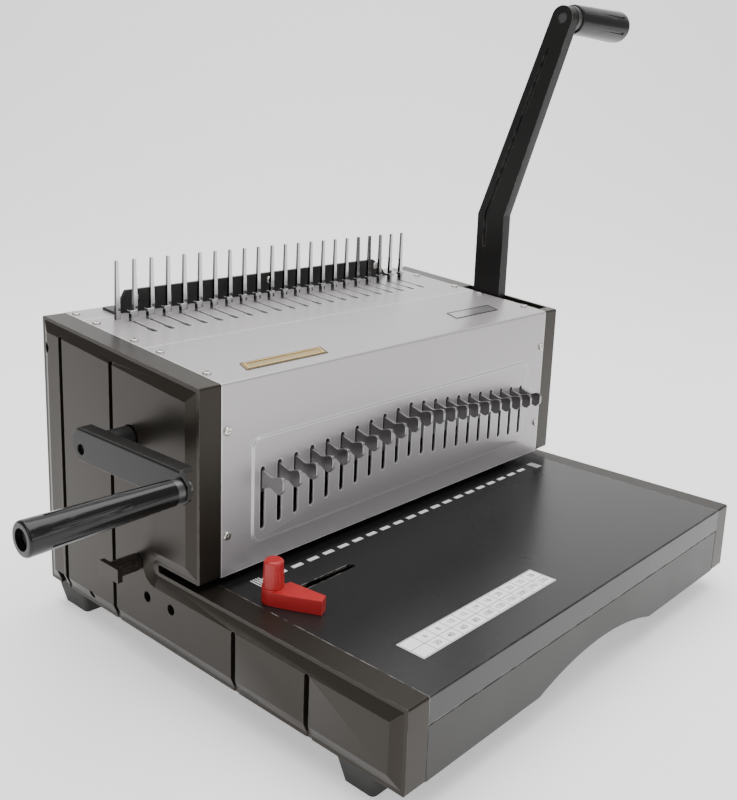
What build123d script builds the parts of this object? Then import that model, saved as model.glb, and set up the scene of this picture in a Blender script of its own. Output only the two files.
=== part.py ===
from build123d import *
import os
from math import atan, atan2, cos, degrees, pi, radians, sin, sqrt, tan

# Comb binding machine: a lever press that punches a row of oblong holes in a stack of paper,
# with a crank that pulls a row of hooks to open a plastic comb on the fixed tines.
# Millimetres. X runs along the punched edge, Y runs back, Z is up. The model is built with the
# punch row centred on X = 0, the front face of the housing at Y = 0 and the floor at Z = 0,
# and every piece is then moved so that the origin is the bottom centre of the bounding box.

# ---- driving dimensions ----------------------------------------------------------------------
hole_pitch = 14.2875          # standard comb pitch, 9/16 inch
hole_count = 21
hole_width = 8.0              # punched hole, along X
hole_depth = 3.0              # punched hole, along Y

housing_width = 350.0         # silver covers and paper table, along X
panel_thickness = 16.5        # depth of each side panel's rim
panel_wall = 2.5
panel_rim_wall = 2.0
pad_height = 3.0              # raised field on each side panel
pad_bevel = 7.0
pad_margin = 2.5

foot_height = 18.0
base_height = 49.2            # underside of the base to the paper table
throat_gap = 5.3              # paper slot between table and housing
throat_depth = 41.0           # how far the slot runs back in the side panels
front_height = 122.4          # height of the housing's front face
rear_rise = 15.7              # how much higher the roof is at the rear
table_depth = 162.8           # paper table in front of the housing
housing_depth = 169.5

sheet = 1.2                   # silver covers
steel = 1.5                   # black sheet of the table and base
frame_thickness = 5.0
front_cover_depth = 77.6      # front cover's reach along the roof
slotted_plate_end = 147.4
seam = 0.4                    # gap between neighbouring covers

slot_width = 4.0              # slots for the pulls in the front cover
slot_length = 41.6
slot_stagger = 1.33           # each slot sits this much lower than its inner neighbour
slot_top_middle = 150.3

pull_thickness = 2.4
pull_lobe = 12.0              # height of the butterfly lobes
pull_waist = 7.0
pull_tail = 8.0
pull_reach = 20.8             # how far a pull stands out of the housing

punch_y = 41.0
punch_tip_lowest = 73.0
punch_tip_step = 1.0

lever_y = 73.0                # axis of the press lever
lever_z = 178.0
lever_shaft_radius = 6.0
lever_throw = 52.0            # degrees
cam_lift = 20.5               # press bar travel for each radian of the lever
cam_start = 6.0               # lever axis to the cam's flat contact at rest

crank_y = 65.0                # axis of the comb crank
crank_z = 150.5
crank_shaft_radius = 5.0
crank_radius = 95.5
crank_throw = 98.0            # degrees
pinion_teeth = 20
gear_module = 1.5
pinion_radius = pinion_teeth * gear_module / 2
carriage_travel = pinion_radius * radians(crank_throw)

tine_count = hole_count + 1
tine_y = 137.9
comb_offset = -2.95           # the comb row sits a little left of the punch row
tine_height = 41.0
hook_rise = 7.5

margin_y = 58.0               # axis of the margin rod
margin_rod_radius = 4.0

stop_x = -164.4               # side stop at rest
stop_y = -35.5
stop_travel = 64.0

fit = 0.05                    # radial clearance of a running shaft
gap = 0.3                     # clearance between pieces that slide or pass
light_gap = 1.0
fold_radius = 1.2             # outside radius of a folded sheet edge

# ---- derived places --------------------------------------------------------------------------
base_bottom = foot_height
table_top = foot_height + base_height
throat_top = table_top + throat_gap
throat_middle = (table_top + throat_top) / 2
roof_front = throat_top + front_height
roof_slope = rear_rise / housing_depth
roof_angle = degrees(atan(roof_slope))
half_width = housing_width / 2
panel_outer = half_width + panel_thickness
frame_outer = half_width - 2.0
frame_inner = frame_outer - frame_thickness
base_floor = base_bottom + steel
screw_x = frame_outer - frame_thickness / 2
front_y = -table_depth

hole_x = [(i - (hole_count - 1) / 2) * hole_pitch for i in range(hole_count)]
tine_x = [comb_offset + (i - (tine_count - 1) / 2) * hole_pitch for i in range(tine_count)]
hook_x = [comb_offset + 7.1 + (i - tine_count / 2 + 0.5) * hole_pitch for i in range(hole_count)]


def roof(y):
    """Height of the roof's outer surface at a depth y."""
    return roof_front + roof_slope * y


def steps_out(i):
    """How many places a punch is from the middle of the row."""
    return abs(i - (hole_count - 1) / 2)


def slot_top(i):
    return slot_top_middle - slot_stagger * steps_out(i)


def pull_z(i):
    """Height of a pull's centre line: its lobes hang just under the top of its slot."""
    return slot_top(i) - 2.3 - pull_lobe / 2


# ---- small shapes ----------------------------------------------------------------------------
def block(x0, x1, y0, y1, z0, z1):
    centre = ((x0 + x1) / 2, (y0 + y1) / 2, (z0 + z1) / 2)
    return Pos(*centre) * Box(x1 - x0, y1 - y0, z1 - z0)


def rod_x(y, z, x0, x1, radius):
    return Pos((x0 + x1) / 2, y, z) * Rot(0, 90, 0) * Cylinder(radius, x1 - x0)


def rod_y(x, z, y0, y1, radius):
    return Pos(x, (y0 + y1) / 2, z) * Rot(90, 0, 0) * Cylinder(radius, y1 - y0)


def rod_z(x, y, z0, z1, radius):
    return Pos(x, y, (z0 + z1) / 2) * Cylinder(radius, z1 - z0)


def face_yz(points):
    """A flat face in the YZ plane from a list of (y, z) corners."""
    return make_face(Plane.YZ * Polyline(*points, close=True))


def plate_yz(points, x0, x1):
    """A plate of that outline between two X positions."""
    return Pos(x0, 0, 0) * extrude(face_yz(points), amount=x1 - x0, dir=(1, 0, 0))


def on_roof(x, y):
    """A place on the sloping roof, with its Z axis square to the sheet."""
    return Pos(x, y, roof(y)) * Rot(roof_angle, 0, 0)


def group(shapes):
    return Compound([solid for shape in shapes for solid in shape.solids()])


def pair(shape):
    """A piece and its mirror image, one at each end of the machine."""
    return group([shape, mirror(shape, about=Plane.YZ)])


# ---- base, table and frame -------------------------------------------------------------------
def housing_outline(inset=0.0):
    """Side view of the machine: the tall housing, the low table and the paper slot between."""
    front = front_y + inset
    rear = housing_depth - inset
    floor = base_bottom + inset
    slot_end = throat_depth + inset
    return [
        (front, floor),
        (rear, floor),
        (rear, roof(housing_depth) - inset),
        (inset, roof(0) - inset),
        (inset, throat_top + inset),
        (slot_end, throat_top + inset),
        (slot_end, table_top - inset),
        (front, table_top - inset),
    ]


drawer_front_y = front_y + 2.0
frame_front = front_y + 16.0
frame_notch = 50.0
ledge_width = 7.0
ledge_depth = 5.5


def side_frame():
    """Left load-bearing plate: notched at the paper slot, bored, with a ledge for the carriage."""
    rear = housing_depth - sheet
    outline = [
        (frame_front, base_floor),
        (rear, base_floor),
        (rear, roof(rear) - sheet),
        (sheet, roof(sheet) - sheet),
        (sheet, throat_top),
        (frame_notch, throat_top),
        (frame_notch, table_top),
        (die_front, table_top),
        (die_front, table_top - steel),
        (frame_front, table_top - steel),
    ]
    plate = plate_yz(outline, -frame_outer, -frame_inner)
    ledge = carriage_top - carriage_thickness - gap
    ledge_front = carriage_front - carriage_travel - 2.0
    ledge_inner = -frame_inner + ledge_width
    plate += block(-frame_inner, ledge_inner, ledge_front, carriage_rear + gap, ledge - ledge_depth, ledge)
    plate -= rod_x(crank_y, crank_z, -frame_outer, -frame_inner, crank_shaft_radius + bush_wall)
    plate -= rod_x(lever_y, lever_z, -frame_outer, -frame_inner, lever_shaft_radius + bush_wall)
    plate -= rod_x(margin_y, throat_middle, -frame_outer, -frame_inner, margin_rod_radius + fit)
    for hole in cover_screw_places():
        if hole[0] < 0:
            plate -= hole[1] * rod_z(0, 0, -screw_length, 0, screw_radius)
    return plate


bush_wall = 2.5
bush_flange = 0.8
die_front = 24.0
die_rear = 46.0
die_depth = 12.2


def base_plate():
    """Bottom pan: a sheet with two low flanges for the frames, open under the drawer's front."""
    pan = block(-frame_outer, frame_outer, frame_front, housing_depth - sheet, base_bottom, base_floor)
    for y in foot_y:
        for x in (-spigot_x, spigot_x):
            pan -= rod_z(x, y, base_bottom, base_floor, spigot_radius)
    return pan


foot_x = half_width - 3.0
foot_y = (front_y + 37.0, housing_depth - 20.0)
spigot_x = foot_x - 10.0
spigot_radius = 2.0


def feet():
    """Four moulded rubber feet, wider at the top, each on a short spigot in the base."""
    shapes = []
    for y, length in zip(foot_y, (30.0, 36.0)):
        for side in (-1, 1):
            top = Pos(side * foot_x, y, base_bottom) * RectangleRounded(34.0, length, 3.0)
            ground = Pos(side * foot_x, y, 0) * RectangleRounded(26.0, length - 8.0, 3.0)
            spigot = rod_z(side * spigot_x, y, base_bottom, base_floor, spigot_radius)
            shapes.append(loft([ground, top]) + spigot)
    return group(shapes)


table_lip = 16.2


def paper_table():
    """Black folded sheet that the paper slides on, with a front lip, side flanges and a slot."""
    lip_bottom = table_top - table_lip
    table = block(-half_width, half_width, front_y, die_front - gap, table_top - steel, table_top)
    table += block(-half_width, half_width, front_y, front_y + steel, lip_bottom, table_top)
    for x in (-half_width, half_width - steel):
        table += block(x, x + steel, front_y, die_front - gap, lip_bottom, table_top)
    front_fold = table.edges().filter_by(Axis.X).group_by(Axis.Z)[-1].sort_by(Axis.Y)[0]
    table = fillet(front_fold, fold_radius)
    travel_slot = Pos(stop_x + stop_travel / 2, stop_y, table_top - steel / 2)
    table -= travel_slot * extrude(SlotCenterToCenter(stop_travel + 8.0, 5.0), amount=steel, both=True)
    return table


def die_block():
    """Hardened steel bar with the die openings, let in behind the paper table."""
    low = table_top - die_depth
    bar = block(-frame_inner, frame_inner, die_front, die_rear, low, table_top)
    return bar - punch_openings(low, table_top)


guide_height = 18.0


def punch_guide():
    """Steel bar over the paper slot that keeps the punches upright and strips the paper."""
    bar = block(-frame_inner, frame_inner, die_front, die_rear, throat_top, throat_top + guide_height)
    bar -= punch_openings(throat_top, throat_top + guide_height)
    for x in (-post_x, post_x):
        bar -= rod_z(x, post_y, throat_top, throat_top + guide_height, post_radius)
    return bar


post_x = frame_inner - 10.0
post_y = 32.0
post_radius = 4.0
post_spare = 10.0             # the posts end under the racks, clear of their teeth


def punch_openings(low, high):
    """Oblong passages for the whole punch row."""
    passages = [
        block(x - hole_width / 2 - gap, x + hole_width / 2 + gap,
              punch_y - hole_depth / 2 - gap, punch_y + hole_depth / 2 + gap, low, high)
        for x in hole_x
    ]
    return group(passages)


def guide_posts():
    """Two ground posts pressed into the guide bar: the press bar runs up and down on them."""
    return pair(rod_z(-post_x, post_y, throat_top, press_top + post_spare, post_radius))


# ---- covers ----------------------------------------------------------------------------------
screw_radius = 1.5
screw_length = 5.0
screw_head_radius = 2.9
screw_head_height = 1.5
roof_screw_y = (19.2, 65.6, 93.1, 136.6, 161.6)
front_screw_z = (throat_top + 26.4, throat_top + 93.0)


def cover_screw_places():
    """Each screw's side and its place on the sheet, Z axis outwards."""
    places = []
    for side in (-1, 1):
        for y in roof_screw_y:
            places.append((side, on_roof(side * screw_x, y)))
        for z in front_screw_z:
            places.append((side, Pos(side * screw_x, 0, z) * Rot(90, 0, 0)))
    return places


def pan_screw():
    """One pan-head cross-recess screw, seated at Z = 0."""
    recess = screw_head_height - 0.8
    head = rod_z(0, 0, 0, screw_head_height, screw_head_radius)
    head = fillet(head.edges().group_by(Axis.Z)[-1], 0.9)
    cross = block(-1.7, 1.7, -0.35, 0.35, recess, screw_head_height)
    cross += block(-0.35, 0.35, -1.7, 1.7, recess, screw_head_height)
    return head + rod_z(0, 0, -screw_length, 0, screw_radius) - cross


def housing_screws():
    """Screws along both edges of the covers and three through the rear bracket."""
    places = [place for _, place in cover_screw_places()] + bracket_screw_places()
    return group([place * pan_screw() for place in places])


def screw_holes():
    clear = screw_radius + 0.15
    return group([place * rod_z(0, 0, -2 * sheet, 0.5, clear) for _, place in cover_screw_places()])


field_left = half_width - 24.0 # raised field around the slots
field_bottom = throat_top + 14.5
field_top = throat_top + 84.0
field_proud = 1.1
field_corner = 7.0


def field_face(inset):
    width = 2 * (field_left - inset)
    height = field_top - field_bottom - 2 * inset
    centre = Plane.XZ * Pos(0, (field_bottom + field_top) / 2)
    return centre * RectangleRounded(width, height, field_corner - inset)


def front_cover():
    """Silver sheet folded over the front top edge, with a raised field and the pull slots."""
    back = front_cover_depth - seam
    outline = [
        (0, throat_top), (0, roof(0)), (back, roof(back)),
        (back, roof(back) - sheet), (sheet, roof(sheet) - sheet), (sheet, throat_top),
    ]
    cover = plate_yz(outline, -half_width, half_width)
    fold = cover.edges().filter_by(Axis.X).sort_by(lambda e: e.center().Y - e.center().Z)[0]
    cover = fillet(fold, 1.8)
    raised = loft([field_face(0), Pos(0, -field_proud, 0) * field_face(field_proud)])
    hollow = Pos(0, sheet, 0) * raised
    cover = cover + raised - hollow
    for i, x in enumerate(hole_x):
        middle = slot_top(i) - slot_length / 2
        shape = Plane.XZ * Pos(x, middle) * Rot(0, 0, 90) * SlotOverall(slot_length, slot_width)
        cover -= extrude(shape, amount=2 * field_proud + sheet, both=True)
    return cover - screw_holes()


hook_slot_front = 102.8
hook_slot_rear = 134.6
hook_slot_width = 3.0
hook_slot_wide = 4.6
hook_slot_wide_end = 113.0


def roof_strip(y0, y1):
    """Flat sheet lying in the roof's slope between two depths."""
    outline = [(y0, roof(y0)), (y1, roof(y1)), (y1, roof(y1) - sheet), (y0, roof(y0) - sheet)]
    return plate_yz(outline, -half_width, half_width)


def slotted_plate():
    """Silver roof plate with a slot for each hook and a square opening for each tine."""
    plate = roof_strip(front_cover_depth, slotted_plate_end - seam)
    low = roof(front_cover_depth) - 2 * sheet
    high = roof(slotted_plate_end) + sheet
    for x in hook_x:
        half = hook_slot_width / 2
        plate -= block(x - half, x + half, hook_slot_front + 2, hook_slot_rear, low, high)
        wide = Pos(x, (hook_slot_front + hook_slot_wide_end) / 2, low)
        oval = Rot(0, 0, 90) * SlotOverall(hook_slot_wide_end - hook_slot_front, hook_slot_wide)
        plate -= wide * extrude(oval, amount=high - low)
    for x in tine_x:
        plate -= block(x - tine_foot / 2, x + tine_foot / 2,
                       tine_y - tine_foot_depth / 2, tine_y + tine_foot_depth / 2, low, high)
    return plate - screw_holes()


def rear_cover():
    """Silver sheet folded over the rear top edge and down the back."""
    inner = housing_depth - sheet
    outline = [
        (slotted_plate_end, roof(slotted_plate_end)), (housing_depth, roof(housing_depth)),
        (housing_depth, base_bottom), (inner, base_bottom), (inner, roof(inner) - sheet),
        (slotted_plate_end, roof(slotted_plate_end) - sheet),
    ]
    return plate_yz(outline, -half_width, half_width) - screw_holes()


bracket_y = 150.0
bracket_half = 145.0
bracket_height = 16.5
bracket_steel = 2.0
bracket_screw_x = (-128.0, 0.0, 128.0)
bracket_screw_z = 10.8


def rear_bracket():
    """Black angle behind the tines that the comb's spine leans on, with clipped corners."""
    place = on_roof(comb_offset, bracket_y)
    foot = block(-bracket_half, bracket_half, 0, 14.0, 0, bracket_steel)
    corners = [
        (-bracket_half, 0), (bracket_half, 0), (bracket_half - 10.0, bracket_height - 6.0),
        (bracket_half - 20.0, bracket_height), (-bracket_half + 9.0, bracket_height),
    ]
    face = make_face(Plane.XZ * Polyline(*corners, close=True))
    upright = extrude(face, amount=bracket_steel, dir=(0, 1, 0))
    angle = foot + upright
    for x in bracket_screw_x:
        angle += rod_y(x, bracket_screw_z, bracket_steel, screw_length, 3.2)
        angle -= rod_y(x, bracket_screw_z, 0, screw_length, screw_radius)
    return place * angle


def bracket_screw_places():
    """Three screws driven from the front into tapped bosses on the bracket's upright."""
    place = on_roof(comb_offset, bracket_y)
    return [place * Pos(x, 0, bracket_screw_z) * Rot(90, 0, 0) for x in bracket_screw_x]


# ---- side panels -----------------------------------------------------------------------------
groove_width = 4.0
groove_depth = 0.6
tall_groove_top = 9.5         # end of a groove below the panel's edge
low_groove_top = 11.0
tall_groove_y = (85.0, 143.5)
low_groove_y = (-95.0, -34.5)
notch_middle = tall_groove_y[1] + 9.0
notch_width = 9.0
notch_height = 10.0
panel_corner = 1.5
panel_clear = panel_outer + 9.0  # a cutter that starts here is outside the panel
boss_gap = 0.6
panel_holes = (               # depth, height above the base, radius
    (161.9, 171.9, 3.8),
    (48.9, 30.6, 3.5),
    (24.4, 30.9, 3.5),
    (113.7, 7.4, 2.8),
    (83.8, 7.7, 3.0),
    (51.8, 126.3, 2.5),
)


def pad_outline(inset):
    """The panel's outline drawn in by a margin, rounded where it passes the end of the slot."""
    outline = housing_outline(inset)
    radius = inset + throat_gap / 2
    turns = [radians(90 - 22.5 * k) for k in range(9)]
    slot_end = [(throat_depth + radius * cos(a), throat_middle + radius * sin(a)) for a in turns]
    return outline[:5] + slot_end + outline[7:]


def panel_pad():
    """Raised field that follows the panel's outline, bevelled down to the rim."""
    root = Pos(-panel_outer, 0, 0) * face_yz(pad_outline(pad_margin))
    crest = Pos(-panel_outer - pad_height, 0, 0) * face_yz(pad_outline(pad_margin + pad_bevel))
    return loft([root, crest], ruled=True)


def panel_shell():
    """The panel's tray, open towards the machine, with its rounded outer edge."""
    outline = face_yz(housing_outline())
    shell = Pos(-panel_outer, 0, 0) * extrude(outline, amount=panel_thickness, dir=(1, 0, 0))
    shell = fillet(shell.edges().filter_by(Axis.X), panel_corner)
    inside = face_yz(housing_outline(panel_rim_wall))
    pocket = extrude(inside, amount=panel_thickness, dir=(1, 0, 0))
    return shell - Pos(-panel_outer + panel_wall, 0, 0) * pocket


def panel_grooves():
    """Round-ended upright grooves: two in the tall part of the panel, two in the low part."""
    deep = -panel_outer + groove_depth
    half = groove_width / 2
    tops = [(y, roof(y) - tall_groove_top) for y in tall_groove_y]
    tops += [(y, table_top - low_groove_top) for y in low_groove_y]
    grooves = []
    for y, top in tops:
        grooves.append(block(-panel_clear, deep, y - half, y + half, 0, top))
        grooves.append(rod_x(y, top, -panel_clear, deep, half))
    return group(grooves)


def side_panel(side):
    """Moulded black end cover: a hollow tray with a raised, grooved field on the outside."""
    panel = panel_shell() + panel_pad() - panel_grooves()
    for y, height, radius in panel_holes:
        panel -= rod_x(y, base_bottom + height, -panel_clear, -half_width, radius)
    notch_front = notch_middle - notch_width / 2
    notch_rear = notch_middle + notch_width / 2
    notch_deep = -panel_outer + panel_wall
    panel -= block(-panel_clear, notch_deep, notch_front, notch_rear, 0, base_bottom + notch_height)
    if side < 0:
        panel -= rod_x(crank_y, crank_z, -panel_clear, -half_width, crank_boss + boss_gap)
        panel -= rod_x(margin_y, throat_middle, -panel_clear, -half_width, margin_rod_radius + light_gap)
        return panel
    panel = mirror(panel, about=Plane.YZ)
    inner = lever_inner - lever_side_gap
    outer = lever_outer + lever_side_gap
    return panel - block(inner, outer, lever_slot_front, lever_slot_rear, lever_z, roof(housing_depth))


lever_slot_front = 8.0
lever_slot_rear = lever_y + 16.0
lever_inner = half_width + 3.0
lever_outer = half_width + 13.0
lever_side_gap = 0.9


# ---- chip drawer -----------------------------------------------------------------------------
drawer_half = frame_inner - 1.0
drawer_rear = 60.0
drawer_gap = 0.5
drawer_bottom = base_floor + drawer_gap
arch_x = 2.3
drawer_wall_top = table_top - 27.0
drawer_shelf = 14.0
arch_half = 69.5
arch_rise = 11.2


def chip_drawer():
    """Tray for the punched chips; its tall front has an arched finger cut at the bottom."""
    tray_front = front_y + drawer_shelf
    tray = block(-drawer_half, drawer_half, tray_front, drawer_rear, drawer_bottom, drawer_wall_top)
    tray -= block(-drawer_half + steel, drawer_half - steel, tray_front + steel, drawer_rear - steel,
                  drawer_bottom + steel, drawer_wall_top + 1)
    face_top = table_top - table_lip - drawer_gap
    front = block(-half_width + gap, half_width - gap, front_y, drawer_front_y, base_bottom, face_top)
    arch_radius = (arch_half ** 2 + arch_rise ** 2) / (2 * arch_rise)
    front -= rod_y(arch_x, base_bottom + arch_rise - arch_radius, front_y, drawer_front_y, arch_radius)
    shelf_z = drawer_wall_top - steel
    shelf = block(-drawer_half, drawer_half, drawer_front_y, tray_front, shelf_z, drawer_wall_top)
    return tray + front + shelf


# ---- punch press -----------------------------------------------------------------------------
press_front = 14.0
press_rear = 47.0
press_bottom = 112.0
press_top = 152.0
press_half = frame_inner - light_gap
ear_outer = frame_inner - 1.5
ear_inner = ear_outer - 7.5
ear_rear = 57.0


def press_bar():
    """Heavy bar that drives the punches, slotted for the pulls and with an ear for each cam."""
    bar = block(-press_half, press_half, press_front, press_rear, press_bottom, press_top)
    for i, x in enumerate(hole_x):
        z = pull_z(i)
        wide = pull_thickness / 2 + gap
        tall = pull_tail / 2 + gap
        bar -= block(x - wide, x + wide, press_front, press_rear, z - tall, z + tall)
        bar -= punch_solid(i, press_bottom, z - tall)
    for side in (-1, 1):
        inner, outer = sorted((side * ear_inner, side * ear_outer))
        bar += block(inner, outer, press_rear - 6.0, ear_rear, press_bottom + 20.0, ear_top)
        bar -= rod_z(side * post_x, post_y, press_bottom, press_top, post_radius + fit)
        bar -= rod_z(side * post_x, post_y, press_bottom, press_bottom + spring_pocket, spring_radius + 2.0)
    return bar


ear_top = lever_z - cam_start - gap
spring_pocket = 30.0
spring_radius = 5.8
spring_wire = 0.8


def punch_solid(i, low, high):
    x = hole_x[i]
    return block(x - hole_width / 2, x + hole_width / 2,
                 punch_y - hole_depth / 2, punch_y + hole_depth / 2, low, high)


def punches():
    """Row of hardened punches; each stands under its own pull."""
    shapes = []
    outermost = steps_out(0)
    for i in range(hole_count):
        tip = punch_tip_lowest + punch_tip_step * (outermost - steps_out(i))
        shapes.append(punch_solid(i, tip, pull_z(i) - pull_tail / 2 - gap))
    return group(shapes)


def pull(i):
    """Selector pull: a tail that slides in the press bar and a butterfly grip in front."""
    z = pull_z(i)
    lobe = pull_lobe / 2
    waist = pull_waist / 2
    tail = pull_tail / 2
    outline = [
        (punch_y + 4.0, z - tail), (punch_y + 4.0, z + tail), (0.5, z + tail),
        (-0.8, z + lobe), (-2.8, z + lobe), (-9.2, z + waist + 0.4), (-11.6, z + waist),
        (-17.0, z + lobe - 0.6), (-pull_reach + 1.0, z + lobe - 0.6), (-pull_reach, z + lobe - 3.2),
        (-pull_reach, z - lobe + 3.4), (-pull_reach + 3.2, z - lobe), (-15.0, z - lobe),
        (-10.2, z - waist), (-8.0, z - waist), (-4.6, z - lobe + 0.6), (-1.6, z - lobe),
        (0.5, z - tail),
    ]
    x = hole_x[i]
    return plate_yz(outline, x - pull_thickness / 2, x + pull_thickness / 2)


def return_springs():
    """Compression springs around the guide posts that lift the press bar."""
    low = throat_top + guide_height + spring_wire
    high = press_bottom + spring_pocket - spring_wire
    turns = 7
    path = Helix(pitch=(high - low) / turns, height=high - low, radius=spring_radius - spring_wire)
    wire = Plane(origin=path @ 0, z_dir=path % 0) * Circle(spring_wire)
    spring = sweep(wire, path=path)
    return group([Pos(side * post_x, post_y, low) * spring for side in (-1, 1)])


# ---- press lever -----------------------------------------------------------------------------
def cam_outline():
    """Cam whose flat contact drops in step with the lever: an involute of a circle."""
    steps = 14
    flank = []
    for k in range(steps + 1):
        angle = radians(lever_throw + 4.0) * k / steps
        reach = cam_start + cam_lift * angle
        flank.append((
            lever_y - reach * sin(angle) - cam_lift * cos(angle),
            lever_z - reach * cos(angle) + cam_lift * sin(angle),
        ))
    heel = (lever_y, lever_z - cam_start)
    crown = (lever_y - 22.0, lever_z + 12.0)
    return [heel] + flank + [crown, (lever_y, lever_z + 11.0)]


def press_cams():
    """Pair of steel cams keyed to the lever shaft, one over each ear of the press bar."""
    cam = plate_yz(cam_outline(), -ear_outer, -ear_inner)
    cam += rod_x(lever_y, lever_z, -ear_outer, -ear_inner, 11.0)
    cam -= rod_x(lever_y, lever_z, -ear_outer, -ear_inner, lever_shaft_radius)
    return pair(cam)


def lever_shaft():
    """Cross shaft that carries both cams and, at its right end, the lever."""
    return rod_x(lever_y, lever_z, -frame_outer, lever_outer - 1.0, lever_shaft_radius)


def shaft_bushes():
    """Four flanged bronze bushes: the frames carry both cross shafts in them."""
    bushes = []
    shafts = ((lever_y, lever_z, lever_shaft_radius), (crank_y, crank_z, crank_shaft_radius))
    for y, z, radius in shafts:
        flange_end = -frame_inner + bush_flange
        bush = rod_x(y, z, -frame_outer, -frame_inner, radius + bush_wall)
        bush += rod_x(y, z, -frame_inner, flange_end, radius + bush_wall + bush_flange)
        bush -= rod_x(y, z, -frame_outer, flange_end, radius + fit)
        bushes.append(bush)
        bushes.append(mirror(bush, about=Plane.YZ))
    return group(bushes)


lever_width = 27.2
lever_centre_y = 64.0
elbow_z = 270.0
tip_y = 8.0
tip_z = 431.0
tip_radius = 9.5
lever_steel = 2.0
lever_boss = 14.5


def lever_outline(inset):
    """Bent lever in side view: straight out of the housing, then leaning to the front."""
    half = lever_width / 2 - inset
    lean = atan2(elbow_z - tip_z, lever_centre_y - tip_y) + pi / 2
    tip = tip_radius - inset
    side = (tip * cos(lean), tip * sin(lean))
    return [
        (lever_centre_y - half, lever_z), (lever_centre_y - half, elbow_z),
        (tip_y - side[0], tip_z - side[1]), (tip_y + side[0], tip_z + side[1]),
        (lever_centre_y + half, elbow_z), (lever_centre_y + half, lever_z),
    ]


def lever_arm():
    """Pressed channel lever with a welded boss at the shaft and one at the grip."""
    body = plate_yz(lever_outline(0), lever_inner, lever_outer)
    body += rod_x(lever_y, lever_z, lever_inner, lever_outer, lever_boss)
    body += rod_x(tip_y, tip_z, lever_inner, lever_outer, tip_radius)
    hollow = plate_yz(lever_outline(lever_steel), lever_inner + lever_steel, lever_outer)
    hollow -= rod_x(lever_y, lever_z, lever_inner, lever_outer, lever_boss)
    hollow -= rod_x(tip_y, tip_z, lever_inner, lever_outer, tip_radius)
    body -= hollow
    rib = [
        (lever_centre_y + 4.0, elbow_z - 28.0), (lever_centre_y + 4.0, elbow_z),
        (tip_y + 9.0, tip_z - 22.0), (tip_y + 11.4, tip_z - 22.0),
        (lever_centre_y + 6.6, elbow_z), (lever_centre_y + 6.6, elbow_z - 28.0),
    ]
    body -= plate_yz(rib, lever_inner, lever_inner + 1.1)
    body -= rod_x(lever_y, lever_z, lever_inner, lever_outer - 1.0, lever_shaft_radius)
    body -= rod_x(tip_y, tip_z, lever_inner, lever_outer, grip_bolt_radius)
    return body


grip_bolt_radius = 4.0
lever_collar_end = lever_outer + 5.0
lever_grip_end = lever_outer + 83.0
lever_grip_root = 11.6
lever_grip_tip = 13.2


def lever_grip_bolt():
    """Shoulder bolt that the lever's grip turns on, with a collar against the lever."""
    bolt = rod_x(tip_y, tip_z, lever_inner + 0.5, lever_grip_end - 12.0, grip_bolt_radius)
    return bolt + rod_x(tip_y, tip_z, lever_outer, lever_collar_end, 10.2)


def tapered_x(y, z, x0, x1, radius0, radius1):
    """Round bar along X whose radius changes from one end to the other."""
    cone = Cone(radius0, radius1, abs(x1 - x0))
    turn = 90 if x1 > x0 else -90
    return Pos((x0 + x1) / 2, y, z) * Rot(0, turn, 0) * cone


def grip_flutes(y, z, x0, x1, radius, count, width):
    """Long shallow grooves cut along a grip."""
    flutes = []
    for k in range(count):
        angle = 2 * pi * (k + 0.5) / count
        flutes.append(rod_x(y + radius * cos(angle), z + radius * sin(angle), x0, x1, width))
    return group(flutes)


def lever_grip():
    """Black moulded grip, a little thicker at its rounded outer end."""
    root = lever_collar_end + gap
    grip = tapered_x(tip_y, tip_z, root, lever_grip_end, lever_grip_root, lever_grip_tip)
    grip = fillet(grip.edges().sort_by(Axis.X)[-1], 7.0)
    grip = fillet(grip.edges().sort_by(Axis.X)[0], 1.2)
    grip -= grip_flutes(tip_y, tip_z, root + 8, lever_grip_end - 12, lever_grip_tip + 0.1, 6, 1.1)
    return grip - rod_x(tip_y, tip_z, root, lever_grip_end - 12.0 + gap, grip_bolt_radius + fit)


# ---- comb opener -----------------------------------------------------------------------------
tine_foot = 3.8
tine_foot_depth = 3.0
tine_tip = 2.1
tine_tip_depth = 1.8
tine_bar_height = 9.0


def tine_comb():
    """Fixed comb of tapered steel tines on a bar under the roof, screwed between the frames."""
    under = roof(tine_y - 3.0) - sheet
    bar_top = under - seam
    comb = block(-frame_inner, frame_inner, tine_y - 2.4, tine_y + 2.6, under - tine_bar_height, bar_top)
    foot_z = under - 1.0
    tip_top = roof(tine_y) + tine_height
    for x in tine_x:
        foot = Pos(x, tine_y, foot_z) * Rectangle(tine_foot - 0.1, tine_foot_depth - 0.1)
        neck = Pos(x, tine_y, roof(tine_y) + 0.5) * Rectangle(tine_foot - 0.2, tine_foot_depth - 0.2)
        tip = Pos(x, tine_y, tip_top) * Rectangle(tine_tip, tine_tip_depth)
        comb += loft([foot, neck, tip], ruled=True)
    return comb


carriage_top = roof(hook_slot_front) - 4.3
carriage_thickness = 3.5
carriage_front = 112.0
carriage_rear = 134.4
carriage_half = frame_inner - light_gap
hook_y = 131.7
rack_outer = frame_inner - 12.0
rack_inner = rack_outer - 5.0
rack_line = crank_z + pinion_radius


def hook_carriage():
    """Flat bar under the roof that carries all the hooks."""
    return block(-carriage_half, carriage_half, carriage_front, carriage_rear,
                 carriage_top - carriage_thickness, carriage_top)


def comb_hooks():
    """Polished hooks that stand in the roof slots, each a post with a cap that catches a ring."""
    hooks = []
    for x in hook_x:
        top = roof(hook_y) + hook_rise
        hook = block(x - 1.1, x + 1.1, hook_y - 1.7, hook_y + 1.7, carriage_top, top)
        hook += block(x - 2.7, x + 2.7, hook_y - 2.6, hook_y + 2.0, top - 2.0, top)
        hooks.append(fillet(hook.edges().group_by(Axis.Z)[-1], 0.5))
    return group(hooks)


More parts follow.
